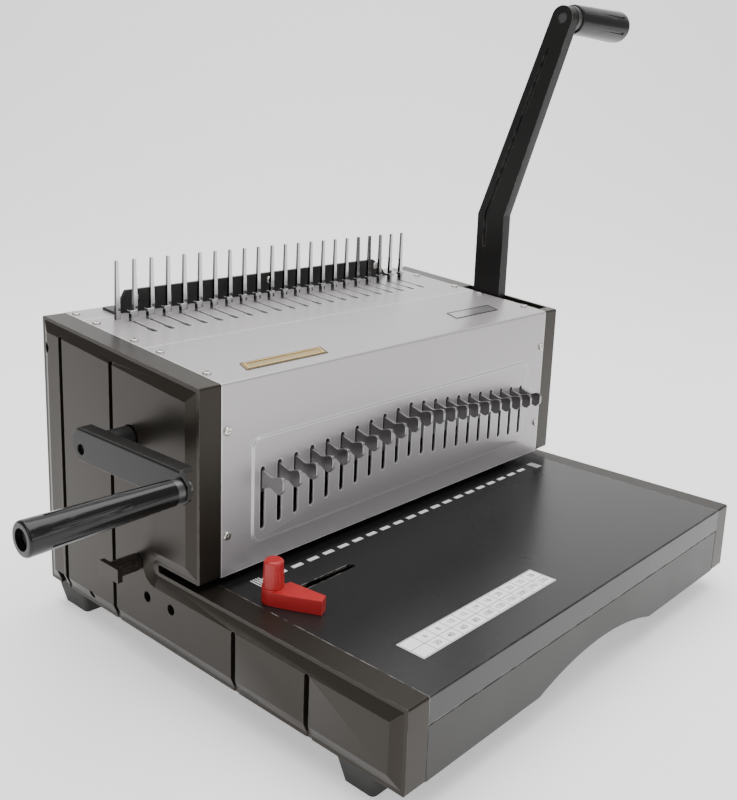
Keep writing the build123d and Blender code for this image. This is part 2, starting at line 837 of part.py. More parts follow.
def carriage_racks():
    """Toothed plates under the carriage, slotted where they pass the lever shaft."""
    under = carriage_top - carriage_thickness
    root = rack_line + 1.25 * gear_module
    clear = lever_shaft_radius + boss_gap
    toe = crank_y - 12.0
    outline = [
        (toe, root), (carriage_rear - 0.4, root), (carriage_rear - 0.4, under),
        (carriage_front, under), (carriage_front, roof(0) - 1.0), (toe, roof(0) - 1.0),
    ]
    rack = plate_yz(outline, -rack_outer, -rack_inner)
    rack -= block(-rack_outer, -rack_inner, lever_y - clear, lever_y + carriage_travel + clear,
                  lever_z - clear, lever_z + clear)
    tooth_step = pi * gear_module
    backlash = 0.15
    tip = rack_line - gear_module
    tip_half = tooth_step / 4 - gear_module * tan(radians(20)) - backlash
    root_half = tooth_step / 4 + 1.25 * gear_module * tan(radians(20)) - backlash
    teeth = int((carriage_travel + 20.0) / tooth_step)
    for k in range(-2, teeth - 1):
        y = crank_y + k * tooth_step
        tooth = [(y - root_half, root), (y - tip_half, tip), (y + tip_half, tip), (y + root_half, root)]
        rack += plate_yz(tooth, -rack_outer, -rack_inner)
    return pair(rack)


def pinion_outline():
    """Involute spur pinion with a tooth space straight above its axis."""
    base = pinion_radius * cos(radians(20))
    tip = pinion_radius + gear_module
    root = pinion_radius - 1.25 * gear_module
    half_tooth = pi / (2 * pinion_teeth) - 0.15 / pinion_radius
    involute = tan(radians(20)) - radians(20)
    flank = []
    for k in range(5):
        radius = base + (tip - base) * k / 4
        roll = sqrt((radius / base) ** 2 - 1)
        flank.append((radius, half_tooth + involute - (roll - atan(roll))))
    points = []
    for n in range(pinion_teeth):
        centre = pi / 2 + (n + 0.5) * 2 * pi / pinion_teeth
        tooth = [(root, centre - flank[0][1])] + [(r, centre - a) for r, a in flank]
        tooth += [(r, centre + a) for r, a in reversed(flank)] + [(root, centre + flank[0][1])]
        points += [(crank_y + r * cos(a), crank_z + r * sin(a)) for r, a in tooth]
    return points


def crank_pinions():
    """Pair of pinions pinned to the crank shaft, one under each rack."""
    pinion = plate_yz(pinion_outline(), -rack_outer, -rack_inner)
    pinion -= rod_x(crank_y, crank_z, -rack_outer, -rack_inner, crank_shaft_radius)
    return pair(pinion)


arm_outer = panel_outer + 37.5
arm_inner = arm_outer - 10.0
arm_steel = 2.5
arm_half = 10.0
arm_middle = crank_z + 3.0
crank_grip_y = crank_y - crank_radius
crank_grip_z = crank_z + 2.2
crank_boss = 7.6


def crank_shaft():
    """Cross shaft of the comb opener, stepped up outside the left panel."""
    shaft = rod_x(crank_y, crank_z, -arm_outer + arm_steel, frame_outer, crank_shaft_radius)
    shaft += rod_x(crank_y, crank_z, -arm_outer + arm_steel, -panel_outer - pad_height - gap, crank_boss)
    return shaft


def crank_arm():
    """Stamped arm: an outer plate with its top edge folded towards the panel."""
    rear = crank_y + 8.5
    front = crank_grip_y - 7.5
    low = arm_middle - arm_half
    high = arm_middle + arm_half
    outline = [
        (front, crank_grip_z - 4.0), (front + 5.0, crank_grip_z - 8.0), (crank_y - 20.0, low),
        (rear - 5.0, low), (rear, low + 5.0), (rear, high - 5.0), (rear - 5.0, high),
        (front + 8.0, high), (front, crank_grip_z + 4.0),
    ]
    arm = plate_yz(outline, -arm_outer, -arm_outer + arm_steel)
    arm += block(-arm_outer, -arm_inner, front + 8.0, rear - 5.0, high - arm_steel, high)
    outer_fold = arm.edges().filter_by(Axis.Y).group_by(Axis.Z)[-1].sort_by(Axis.X)[0]
    arm = fillet(outer_fold, 1.6)
    arm -= rod_x(crank_y, crank_z, -arm_outer, -arm_inner, 3.4)
    return arm - rod_x(crank_grip_y, crank_grip_z, -arm_outer, -arm_inner, grip_bolt_radius)


crank_collar_end = arm_outer + 5.0
crank_grip_end = panel_outer + 128.5
crank_grip_root = 7.3
crank_grip_tip = 9.2


def crank_grip_bolt():
    """Shoulder bolt of the crank's grip: collar at the arm, button head in the grip's end."""
    y = crank_grip_y
    z = crank_grip_z
    bolt = rod_x(y, z, -crank_grip_end + 6.0, -arm_outer + arm_steel + 4.0, grip_bolt_radius)
    bolt += rod_x(y, z, -crank_collar_end, -arm_outer, 6.6)
    return bolt + rod_x(y, z, -crank_grip_end + 3.4, -crank_grip_end + 6.0, 5.2)


def crank_grip():
    """Black moulded grip of the crank, fluted, with a recess for the bolt's head."""
    y = crank_grip_y
    z = crank_grip_z
    root = -crank_collar_end - gap
    grip = tapered_x(y, z, -crank_grip_end, root, crank_grip_tip, crank_grip_root)
    grip = fillet(grip.edges().sort_by(Axis.X)[0], 1.6)
    grip -= grip_flutes(y, z, -crank_grip_end + 12, root - 8, crank_grip_tip - 0.4, 6, 0.9)
    grip -= rod_x(y, z, -crank_grip_end, root, grip_bolt_radius + fit)
    return grip - rod_x(y, z, -crank_grip_end, -crank_grip_end + 6.0 + gap, 5.6)


# ---- paper stops -----------------------------------------------------------------------------
margin_disc = 10.2
margin_disc_offset = 1.5
margin_disc_width = 16.0
margin_disc_x = 120.0


def margin_rod():
    """Rod behind the paper slot; the sheets stop against its two off-centre discs."""
    rod = rod_x(margin_y, throat_middle, -knob_root, frame_outer, margin_rod_radius)
    half = margin_disc_width / 2
    for x in (-margin_disc_x, margin_disc_x):
        rod += rod_x(margin_y - margin_disc_offset, throat_middle, x - half, x + half, margin_disc)
    return rod


knob_root = panel_outer + pad_height + 1.5
knob_end = knob_root + 17.0
knurl_radius = 5.6
knurl_count = 16
wing_thickness = 3.5
wing_half = 10.0


def margin_knob():
    """Small knurled knob with a thumb wing on the left end of the margin rod."""
    knob = rod_x(margin_y, throat_middle, -knob_end, -knob_root, knurl_radius)
    knob += block(-knob_end - wing_thickness, -knob_end, margin_y - wing_half, margin_y + wing_half,
                  throat_middle - 4.5, throat_middle + 4.5)
    for k in range(knurl_count):
        angle = 2 * pi * k / knurl_count
        y = margin_y + (knurl_radius + gap) * cos(angle)
        z = throat_middle + (knurl_radius + gap) * sin(angle)
        knob -= rod_x(y, z, -knob_end + 1.0, -knob_root - 2.5, 0.7)
    return knob


stop_disc = 7.1
stop_disc_height = 9.8
stop_knob_radius = 6.5
stop_knob_top = 26.8
knob_taper = 0.6
knob_flutes = 18
flute_radius = 0.6
stud_radius = 1.9
stud_flange = 3.3
stud_top = table_top + stop_disc_height + 9.0


def side_stop():
    """Red moulded stop: a round base, a wing that squares the paper and a moulded-in stud."""
    z = table_top + gap
    base = rod_z(stop_x, stop_y, z, table_top + stop_disc_height, stop_disc)
    wing = [
        (stop_x + 2.0, stop_y - 6.0), (stop_x + 5.0, stop_y - 2.0), (stop_x + 11.5, stop_y - 2.4),
        (stop_x + 14.4, stop_y - 29.5), (stop_x + 7.7, stop_y - 32.7), (stop_x - 1.5, stop_y - 15.0),
        (stop_x - 6.6, stop_y - 3.0),
    ]
    face = make_face(Polyline(*wing, close=True))
    base += Pos(0, 0, z) * extrude(face, amount=stop_disc_height - gap - 0.6)
    under = table_top - steel - gap
    base += rod_z(stop_x, stop_y, under, stud_top, stud_radius)
    return base + rod_z(stop_x, stop_y, under - 2.5, under, stud_flange)


def stop_knob():
    """Red fluted knob screwed on the stud to clamp the side stop."""
    low = table_top + stop_disc_height + gap
    high = table_top + stop_knob_top
    middle = Pos(stop_x, stop_y, (low + high) / 2)
    knob = middle * Cone(stop_knob_radius, stop_knob_radius - knob_taper, high - low)
    knob = fillet(knob.edges().group_by(Axis.Z)[-1], 1.8)
    for k in range(knob_flutes):
        angle = 2 * pi * k / knob_flutes
        x = stop_x + (stop_knob_radius + 0.15) * cos(angle)
        y = stop_y + (stop_knob_radius + 0.15) * sin(angle)
        knob -= rod_z(x, y, low + 2.5, high - 3.0, flute_radius)
    return knob - rod_z(stop_x, stop_y, low, stud_top + gap, stud_radius + fit)


# ---- assembly --------------------------------------------------------------------------------
def all_pieces():
    pieces = {
        "base_plate": base_plate(),
        "rubber_feet": feet(),
        "left_frame": side_frame(),
        "right_frame": mirror(side_frame(), about=Plane.YZ),
        "paper_table": paper_table(),
        "die_block": die_block(),
        "punch_guide": punch_guide(),
        "guide_posts": guide_posts(),
        "front_cover": front_cover(),
        "slotted_plate": slotted_plate(),
        "rear_cover": rear_cover(),
        "housing_screws": housing_screws(),
        "rear_bracket": rear_bracket(),
        "left_panel": side_panel(-1),
        "right_panel": side_panel(1),
        "chip_drawer": chip_drawer(),
        "press_bar": press_bar(),
        "punches": punches(),
        "return_springs": return_springs(),
        "lever_shaft": lever_shaft(),
        "shaft_bushes": shaft_bushes(),
        "press_cams": press_cams(),
        "lever_arm": lever_arm(),
        "lever_grip_bolt": lever_grip_bolt(),
        "lever_grip": lever_grip(),
        "tine_comb": tine_comb(),
        "hook_carriage": hook_carriage(),
        "comb_hooks": comb_hooks(),
        "carriage_racks": carriage_racks(),
        "crank_shaft": crank_shaft(),
        "crank_pinions": crank_pinions(),
        "crank_arm": crank_arm(),
        "crank_grip_bolt": crank_grip_bolt(),
        "crank_grip": crank_grip(),
        "margin_rod": margin_rod(),
        "margin_knob": margin_knob(),
        "side_stop": side_stop(),
        "stop_knob": stop_knob(),
    }
    for i in range(hole_count):
        pieces[f"pull_{i + 1:02d}"] = pull(i)
    return pieces


pieces = all_pieces()
boxes = [piece.bounding_box() for piece in pieces.values()]
x_middle = (min(b.min.X for b in boxes) + max(b.max.X for b in boxes)) / 2
y_middle = (min(b.min.Y for b in boxes) + max(b.max.Y for b in boxes)) / 2
z_low = min(b.min.Z for b in boxes)

os.makedirs("parts", exist_ok=True)
for name, piece in pieces.items():
    export_step(Pos(-x_middle, -y_middle, -z_low) * piece, f"parts/{name}.step")
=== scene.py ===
import bpy
import bmesh
from math import cos, pi, radians, sin
from mathutils import Matrix, Vector


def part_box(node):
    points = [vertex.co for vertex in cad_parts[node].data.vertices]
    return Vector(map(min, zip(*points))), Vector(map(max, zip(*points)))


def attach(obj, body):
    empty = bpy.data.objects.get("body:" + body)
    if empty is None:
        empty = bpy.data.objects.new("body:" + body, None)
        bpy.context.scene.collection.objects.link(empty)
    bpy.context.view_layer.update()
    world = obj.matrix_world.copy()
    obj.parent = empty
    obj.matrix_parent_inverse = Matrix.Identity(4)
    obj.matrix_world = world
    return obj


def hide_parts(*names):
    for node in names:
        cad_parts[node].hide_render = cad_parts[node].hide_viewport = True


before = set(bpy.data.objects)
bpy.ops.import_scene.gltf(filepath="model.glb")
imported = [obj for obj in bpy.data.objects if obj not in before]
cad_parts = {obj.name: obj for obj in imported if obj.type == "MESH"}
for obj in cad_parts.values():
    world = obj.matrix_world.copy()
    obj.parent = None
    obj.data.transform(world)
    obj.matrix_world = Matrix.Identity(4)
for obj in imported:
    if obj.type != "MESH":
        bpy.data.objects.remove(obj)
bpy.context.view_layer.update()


# ---- Rubber feet --------------------------------------------------------------------------
# Four moulded rubber pads under the ends of the base. Dull black, a little grey with dust
# in patches. Each is pushed into the bottom pan by its spigot.
def finish(name, colour, second, metallic, gloss, grain, depth, patch=0.06, shine=0.5, stretch=(1, 1, 1)):
    """A finish in two blended colours, with uneven gloss and a fine grain in its surface."""
    material = bpy.data.materials.new(name)
    material.use_nodes = True
    nodes = material.node_tree.nodes
    links = material.node_tree.links
    shader = nodes["Principled BSDF"]
    shader.inputs["Metallic"].default_value = metallic
    shader.inputs["Specular IOR Level"].default_value = shine

    place = nodes.new("ShaderNodeTexCoord")
    turn = nodes.new("ShaderNodeMapping")
    turn.inputs["Scale"].default_value = stretch
    links.new(place.outputs["Object"], turn.inputs["Vector"])

    patches = nodes.new("ShaderNodeTexNoise")
    patches.inputs["Scale"].default_value = 1 / patch
    patches.inputs["Detail"].default_value = 3
    links.new(turn.outputs["Vector"], patches.inputs["Vector"])
    blend = nodes.new("ShaderNodeMix")
    blend.name = "colour_blend"
    blend.data_type = "RGBA"
    blend.inputs[6].default_value = (*colour, 1)
    blend.inputs[7].default_value = (*second, 1)
    links.new(patches.outputs["Fac"], blend.inputs[0])
    links.new(blend.outputs[2], shader.inputs["Base Color"])

    speck = nodes.new("ShaderNodeTexNoise")
    speck.inputs["Scale"].default_value = 1 / grain
    speck.inputs["Detail"].default_value = 3
    links.new(turn.outputs["Vector"], speck.inputs["Vector"])
    uneven = nodes.new("ShaderNodeMapRange")
    uneven.inputs["From Min"].default_value = 0.3
    uneven.inputs["From Max"].default_value = 0.7
    uneven.inputs["To Min"].default_value = gloss[0]
    uneven.inputs["To Max"].default_value = gloss[1]
    links.new(patches.outputs["Fac"], uneven.inputs["Value"])
    links.new(uneven.outputs["Result"], shader.inputs["Roughness"])

    relief = nodes.new("ShaderNodeBump")
    relief.inputs["Strength"].default_value = 0.5
    relief.inputs["Distance"].default_value = depth
    links.new(speck.outputs["Fac"], relief.inputs["Height"])
    links.new(relief.outputs["Normal"], shader.inputs["Normal"])
    return material


def dress(material, *names):
    """Puts a finish on CAD pieces whose shape is right as it is."""
    for name in names:
        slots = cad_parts[name].data.materials
        slots.clear()
        slots.append(material)


foot_rubber = finish(
    "foot_rubber", (0.012, 0.012, 0.012), (0.035, 0.034, 0.032), 0.0, (0.65, 0.85), 0.0012, 0.0002)
dress(foot_rubber, "rubber_feet")


# ---- Bottom pan, frames and inner works ---------------------------------------------------
# Pressed steel pan, two 5 mm side frames, die and guide bars, posts, bushes and the moving
# press and carriage. Zinc plate and ground or blackened steel, bolted up inside the covers.
zinc_plate = finish(
    "zinc_plate", (0.42, 0.42, 0.43), (0.55, 0.55, 0.54), 1.0, (0.28, 0.42), 0.004, 0.00003)
black_steel = finish(
    "black_steel", (0.07, 0.07, 0.072), (0.12, 0.118, 0.115), 0.9, (0.3, 0.45), 0.003, 0.00004)
ground_steel = finish(
    "ground_steel", (0.5, 0.5, 0.51), (0.68, 0.68, 0.68), 1.0, (0.18, 0.3), 0.0006, 0.00002,
    stretch=(0.1, 1, 1))
bush_bronze = finish(
    "bush_bronze", (0.36, 0.22, 0.09), (0.48, 0.31, 0.14), 1.0, (0.3, 0.5), 0.0015, 0.00004)
pan_enamel = finish(
    "pan_enamel", (0.012, 0.012, 0.012), (0.022, 0.021, 0.02), 0.0, (0.35, 0.5), 0.0015, 0.00006)
dress(pan_enamel, "base_plate")
dress(zinc_plate, "left_frame", "right_frame", "press_bar")
dress(zinc_plate, "carriage_racks", "crank_pinions", "hook_carriage")
dress(black_steel, "die_block", "punch_guide", "punches", "press_cams")
dress(ground_steel, "guide_posts", "return_springs", "lever_shaft", "margin_rod")
dress(bush_bronze, "shaft_bushes")


# ---- Paper table --------------------------------------------------------------------------
# Folded 1.5 mm steel sheet in gloss black enamel, with a slot for the side stop. The enamel
# has a faint orange peel and has chipped to bright metal along its folds.
def softened(node, name, body, material, slot, radius):
    """Copies a CAD piece, welds its loose triangles and rounds its sharp edges."""
    welded = 1e-6
    flat = radians(1.0)
    sharp = radians(18)
    piece = bpy.data.objects.new(name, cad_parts[node].data.copy())
    bpy.context.scene.collection.objects.link(piece)
    shape = bmesh.new()
    shape.from_mesh(piece.data)
    bmesh.ops.remove_doubles(shape, verts=shape.verts, dist=welded)
    bmesh.ops.dissolve_limit(shape, angle_limit=flat, verts=shape.verts, edges=shape.edges)
    shape.to_mesh(piece.data)
    shape.free()
    piece.data.materials.clear()
    piece.data.materials.append(material)
    for face in piece.data.polygons:
        face.use_smooth = True
        face.material_index = 0
    piece.data.set_sharp_from_angle(angle=sharp)
    rounding = piece.modifiers.new("rounding", "BEVEL")
    rounding.width = radius
    rounding.segments = 2
    rounding.limit_method = "ANGLE"
    rounding.angle_limit = sharp
    rounding.harden_normals = True
    bpy.context.view_layer.update()
    seen = piece.evaluated_get(bpy.context.evaluated_depsgraph_get())
    piece.modifiers.clear()
    piece.data = bpy.data.meshes.new_from_object(seen)
    return settle(piece, body, slot, node)


def settle(piece, body, slot, *nodes):
    """Fixes a finished piece to its body and hides the CAD pieces it stands for."""
    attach(piece, body)
    if nodes:
        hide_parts(*nodes)
    return piece


def wear_edges(material, wear_and_highlight_colour, width, strength, broken_from=0.42):
    """Turns a finish to another colour along its sharp edges, broken up by a fine noise: worn bare edges
    on some finishes, a painted highlight on others.
    """
    nodes = material.node_tree.nodes
    links = material.node_tree.links
    rounded = nodes.new("ShaderNodeBevel")
    rounded.samples = 6
    rounded.inputs["Radius"].default_value = width
    flat = nodes.new("ShaderNodeNewGeometry")
    compare = nodes.new("ShaderNodeVectorMath")
    compare.operation = "DOT_PRODUCT"
    links.new(rounded.outputs["Normal"], compare.inputs[0])
    links.new(flat.outputs["True Normal"], compare.inputs[1])
    edge = nodes.new("ShaderNodeMapRange")
    edge.inputs["From Min"].default_value = 0.995
    edge.inputs["From Max"].default_value = 0.9
    links.new(compare.outputs["Value"], edge.inputs["Value"])
    place = nodes.new("ShaderNodeTexCoord")
    broken = nodes.new("ShaderNodeTexNoise")
    broken.inputs["Scale"].default_value = 160
    broken.inputs["Detail"].default_value = 6
    links.new(place.outputs["Object"], broken.inputs["Vector"])
    patchy_edge = nodes.new("ShaderNodeMapRange")
    patchy_edge.inputs["From Min"].default_value = broken_from
    patchy_edge.inputs["From Max"].default_value = broken_from + 0.18
    patchy_edge.inputs["To Max"].default_value = strength
    links.new(broken.outputs["Fac"], patchy_edge.inputs["Value"])
    both = nodes.new("ShaderNodeMath")
    both.operation = "MULTIPLY"
    links.new(edge.outputs["Result"], both.inputs[0])
    links.new(patchy_edge.outputs["Result"], both.inputs[1])
    worn_and_lit = nodes.new("ShaderNodeMix")
    worn_and_lit.data_type = "RGBA"
    worn_and_lit.inputs[7].default_value = (*wear_and_highlight_colour, 1)
    links.new(both.outputs["Value"], worn_and_lit.inputs[0])
    links.new(nodes["colour_blend"].outputs[2], worn_and_lit.inputs[6])
    links.new(worn_and_lit.outputs[2], nodes["Principled BSDF"].inputs["Base Color"])
    return material


def shade_sides(material, painted_side_shade_colour):
    """Gives the faces that look along X another colour, as painted shade on the sides of a plate."""
    nodes = material.node_tree.nodes
    links = material.node_tree.links
    base = nodes["Principled BSDF"].inputs["Base Color"]
    face = base.links[0].from_socket
    place = nodes.new("ShaderNodeTexCoord")
    split = nodes.new("ShaderNodeSeparateXYZ")
    links.new(place.outputs["Normal"], split.inputs["Vector"])
    along = nodes.new("ShaderNodeMath")
    along.operation = "ABSOLUTE"
    links.new(split.outputs["X"], along.inputs[0])
    turned = nodes.new("ShaderNodeMapRange")
    turned.inputs["From Min"].default_value = 0.45
    turned.inputs["From Max"].default_value = 0.9
    links.new(along.outputs["Value"], turned.inputs["Value"])
    blend = nodes.new("ShaderNodeMix")
    blend.data_type = "RGBA"
    blend.inputs[7].default_value = (*painted_side_shade_colour, 1)
    links.new(turned.outputs["Result"], blend.inputs[0])
    links.new(face, blend.inputs[6])
    links.new(blend.outputs[2], base)
    return material


table_enamel = finish(
    "table_enamel", (0.010, 0.0098, 0.0098), (0.014, 0.0136, 0.0134), 0.0, (0.25, 0.29), 0.0011, 0.00005,
    patch=0.12, shine=0.45)
wear_edges(table_enamel, (0.5, 0.47, 0.44), 0.0009, 0.8)
softened("paper_table", "folded_table", "housing", table_enamel, "black_sheet", 0.0005)
table_low, table_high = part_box("paper_table")
table_top = table_high.z
row_x = (table_low.x + table_high.x) / 2
table_depth = 0.1628
face_y = table_low.y + table_depth


# ---- Marks printed on the table -----------------------------------------------------------
# A row of white dashes in front of the slots, hatching at both ends of it, and a stuck-on
# white chart of comb sizes. The ink is 0.08 mm thick on the enamel and the label 0.16 mm.
def printed_row(name, count, step, size, start, material):
    """A row of like printed bars, laid out by Geometry Nodes and turned into a plain mesh."""
    tree = bpy.data.node_groups.new(name + "_rule", "GeometryNodeTree")
    sockets = {}
    for label, kind, value in (
            ("Count", "NodeSocketInt", count), ("Step", "NodeSocketVector", step),
            ("Size", "NodeSocketVector", size), ("Start", "NodeSocketVector", start)):
        socket = tree.interface.new_socket(label, in_out="INPUT", socket_type=kind)
        sockets[socket.identifier] = value
    tree.interface.new_socket("Geometry", in_out="OUTPUT", socket_type="NodeSocketGeometry")
    entry = tree.nodes.new("NodeGroupInput")
    line = tree.nodes.new("GeometryNodeMeshLine")
    line.mode = "OFFSET"
    bar = tree.nodes.new("GeometryNodeMeshCube")
    spread = tree.nodes.new("GeometryNodeInstanceOnPoints")
    solid = tree.nodes.new("GeometryNodeRealizeInstances")
    ink = tree.nodes.new("GeometryNodeSetMaterial")
    ink.inputs["Material"].default_value = material
    leave = tree.nodes.new("NodeGroupOutput")
    wire = tree.links.new
    wire(entry.outputs["Count"], line.inputs["Count"])
    wire(entry.outputs["Step"], line.inputs["Offset"])
    wire(entry.outputs["Start"], line.inputs["Start Location"])
    wire(entry.outputs["Size"], bar.inputs["Size"])
    wire(line.outputs["Mesh"], spread.inputs["Points"])
    wire(bar.outputs["Mesh"], spread.inputs["Instance"])
    wire(spread.outputs["Instances"], solid.inputs["Geometry"])
    wire(solid.outputs["Geometry"], ink.inputs["Geometry"])
    wire(ink.outputs["Geometry"], leave.inputs["Geometry"])

    holder = bpy.data.objects.new(name + "_holder", bpy.data.meshes.new(name + "_holder"))
    bpy.context.scene.collection.objects.link(holder)
    rule = holder.modifiers.new("row", "NODES")
    rule.node_group = tree
    for identifier, value in sockets.items():
        rule[identifier] = value
    bpy.context.view_layer.update()
    mesh = bpy.data.meshes.new_from_object(holder.evaluated_get(bpy.context.evaluated_depsgraph_get()))
    bpy.data.objects.remove(holder)
    row = bpy.data.objects.new(name, mesh)
    bpy.context.scene.collection.objects.link(row)
    return settle(row, "housing", "silver_cover")


white_ink = finish(
    "white_ink", (0.86, 0.86, 0.85), (0.93, 0.93, 0.92), 0.0, (0.35, 0.5), 0.001, 0.00002)
ink_height = 0.00008
pitch = 0.0142875
dash_count = 21
dash_from_face = 0.0115
dash_start = row_x - dash_count / 2 * pitch
printed_row(
    "punch_dashes", dash_count, (pitch, 0, 0), (0.0088, 0.0033, ink_height),
    (dash_start, face_y - dash_from_face, table_top + ink_height / 2), white_ink)
hatch_from_middle = 0.1545
hatch_from_face = 0.0125
hatch_step = 0.002
for side, name in ((-1, "left_hatching"), (1, "right_hatching")):
    hatch_x = row_x + side * hatch_from_middle - 1.5 * hatch_step
    printed_row(
        name, 4, (hatch_step, 0, 0), (0.0008, 0.0105, ink_height),
        (hatch_x, face_y - hatch_from_face, table_top + ink_height / 2), white_ink)

label_paper = finish(
    "label_paper", (0.86, 0.86, 0.86), (0.93, 0.93, 0.93), 0.0, (0.4, 0.55), 0.0012, 0.00002)
black_ink = finish(
    "black_ink", (0.02, 0.02, 0.02), (0.045, 0.045, 0.045), 0.0, (0.4, 0.55), 0.001, 0.00002)
label_x = row_x - 0.083
label_y = face_y - 0.12865
label_width = 0.133
label_depth = 0.0197
label_columns = 11
ruled_width = label_width * 0.99
ruled_depth = label_depth * 0.94
column_step = ruled_width / label_columns
rule_width = 0.00035
rule_z = table_top + 2.2 * ink_height
printed_row(
    "chart_label", 1, (0, 0, 0), (label_width, label_depth, 2 * ink_height),
    (label_x, label_y, table_top + ink_height), label_paper)
printed_row(
    "chart_columns", label_columns + 1, (column_step, 0, 0), (rule_width, ruled_depth, ink_height),
    (label_x - ruled_width / 2, label_y, rule_z), black_ink)
printed_row(
    "chart_rows", 3, (0, ruled_depth / 2, 0), (ruled_width, rule_width, ink_height),
    (label_x, label_y - ruled_depth / 2, rule_z), black_ink)


def stamped(words, size, centre, material, name):
    """Numbers laid flat on a surface, each turned into a mesh and joined in one piece."""
    joined = bmesh.new()
    for word, spot in words:
        curve = bpy.data.curves.new(name + "_type", "FONT")
        curve.body = word
        curve.size = size
        curve.align_x = "CENTER"
        curve.align_y = "CENTER"
        holder = bpy.data.objects.new(name + "_type", curve)
        bpy.context.scene.collection.objects.link(holder)
        bpy.context.view_layer.update()
        mesh = bpy.data.meshes.new_from_object(holder.evaluated_get(bpy.context.evaluated_depsgraph_get()))
        mesh.transform(Matrix.Translation(Vector(centre) + Vector(spot)))
        joined.from_mesh(mesh)
        bpy.data.objects.remove(holder)
    mesh = bpy.data.meshes.new(name)
    joined.to_mesh(mesh)
    joined.free()
    mesh.materials.append(material)
    piece = bpy.data.objects.new(name, mesh)
    bpy.context.scene.collection.objects.link(piece)
    return settle(piece, "housing", "black_sheet")


comb_sizes = (6, 8, 10, 12, 14, 16, 20, 25, 32, 38)
sheet_counts = (20, 40, 60, 80, 100, 120, 150, 200, 270, 330)
number_size = 0.0052
number_z = table_top + 3 * ink_height
chart_words = []
for row, values in ((1, comb_sizes), (-1, sheet_counts)):
    for column, value in enumerate(values):
        cell_x = (column + 1 - (label_columns - 1) / 2) * column_step
        chart_words.append((str(value), (cell_x, row * ruled_depth / 4, 0)))
stamped(chart_words, number_size, (label_x, label_y, number_z), black_ink, "chart_numbers")


# ---- Silver covers ------------------------------------------------------------------------
# Folded 1.2 mm steel in warm silver paint: the front with its raised field and slots, the
# slotted roof plate and the back. The folds and punched edges carry a painted near-white highlight.
silver_paint = finish(
    "silver_paint", (0.42, 0.398, 0.406), (0.47, 0.447, 0.456), 0.5, (0.31, 0.36), 0.0007, 0.00002,
    patch=0.1)
# Painted highlight: near white along the folds and punched edges, barely broken up.
wear_edges(silver_paint, (0.95, 0.95, 0.94), 0.0015, 1.0, broken_from=0.2)
softened("front_cover", "folded_front", "housing", silver_paint, "silver_cover", 0.0004)
softened("slotted_plate", "slotted_roof", "housing", silver_paint, "silver_cover", 0.0004)
softened("rear_cover", "folded_back", "housing", silver_paint, "silver_cover", 0.0005)


# ---- Cover screws -------------------------------------------------------------------------
# Nickel-plated pan-head screws with a cross recess, along both edges of the covers and in
# the bracket behind the tines. Bright, with a darker recess.
screw_nickel = finish(
    "screw_nickel", (0.55, 0.53, 0.5), (0.7, 0.68, 0.65), 1.0, (0.2, 0.34), 0.0008, 0.00002)
dress(screw_nickel, "housing_screws")


# ---- Badges on the roof -------------------------------------------------------------------
# Thin slanted plates stuck on the sloping roof: a gold one on a brown backing near the left
# and a silver one with a black rim near the right. Both are blank inside a raised rim.
def badge(name, centre, length, depth, rim, height, outer, inner):
    """A slanted plate with a raised rim around a sunken field, lying on the roof."""
    slant = 0.35
    rim_reach = 1.3 * rim
    roof_z = roof_front + roof_rise * (centre[1] - face_y)
    shape = bmesh.new()
    rings = []
    steps = ((0, 0, 0), (0, 0, height), (rim, rim_reach, height), (rim, rim_reach, height / 2))
    for inset, shorter, z in steps:
        half = depth / 2 - inset
        reach = length / 2 - shorter
        corners = ((-1, -1), (1, -1), (1, 1), (-1, 1))
        places = [(sx * reach + sy * slant * half, sy * half, z) for sx, sy in corners]
        rings.append([shape.verts.new(place) for place in places])
    for a, b in zip(rings, rings[1:]):
        for k in range(4):
            shape.faces.new((a[k], a[(k + 1) % 4], b[(k + 1) % 4], b[k]))
    shape.faces.new(list(reversed(rings[0])))
    shape.faces.new(rings[-1]).material_index = 1
    shape.transform(Matrix.Translation((*centre, roof_z)) @ Matrix.Rotation(roof_lean, 4, "X"))
    bmesh.ops.recalc_face_normals(shape, faces=shape.faces)
    mesh = bpy.data.meshes.new(name)
    shape.to_mesh(mesh)
    shape.free()
    mesh.materials.append(outer)
    mesh.materials.append(inner)
    piece = bpy.data.objects.new(name, mesh)
    bpy.context.scene.collection.objects.link(piece)
    return settle(piece, "housing", "black_sheet")


throat_gap = 0.0053
front_height = 0.1224
roof_front = table_top + throat_gap + front_height
roof_rise = 0.0157 / 0.1695
roof_lean = radians(5.29)
gold_place = (row_x - 0.108, face_y + 0.0175)
foil_place = (row_x + 0.112, face_y + 0.030)
badge_gold = finish(
    "badge_gold", (0.66, 0.46, 0.16), (0.8, 0.6, 0.26), 1.0, (0.22, 0.34), 0.001, 0.00002)
badge_brown = finish(
    "badge_brown", (0.1, 0.075, 0.035), (0.17, 0.125, 0.06), 0.6, (0.25, 0.4), 0.001, 0.00002)
badge_field = finish(
    "badge_field", (0.36, 0.26, 0.1), (0.5, 0.37, 0.16), 0.9, (0.25, 0.4), 0.001, 0.00002)
badge_black = finish(
    "badge_black", (0.03, 0.028, 0.025), (0.06, 0.055, 0.05), 0.3, (0.25, 0.4), 0.001, 0.00002)
badge_foil = finish(
    "badge_foil", (0.44, 0.43, 0.43), (0.52, 0.51, 0.51), 0.9, (0.3, 0.42), 0.001, 0.00002)
badge("brown_badge", gold_place, 0.071, 0.012, 0.0007, 0.0005, badge_brown, badge_gold)
badge("gold_badge", gold_place, 0.067, 0.0094, 0.0012, 0.0007, badge_gold, badge_field)
badge("foil_badge", foil_place, 0.056, 0.014, 0.0007, 0.0005, badge_black, badge_foil)
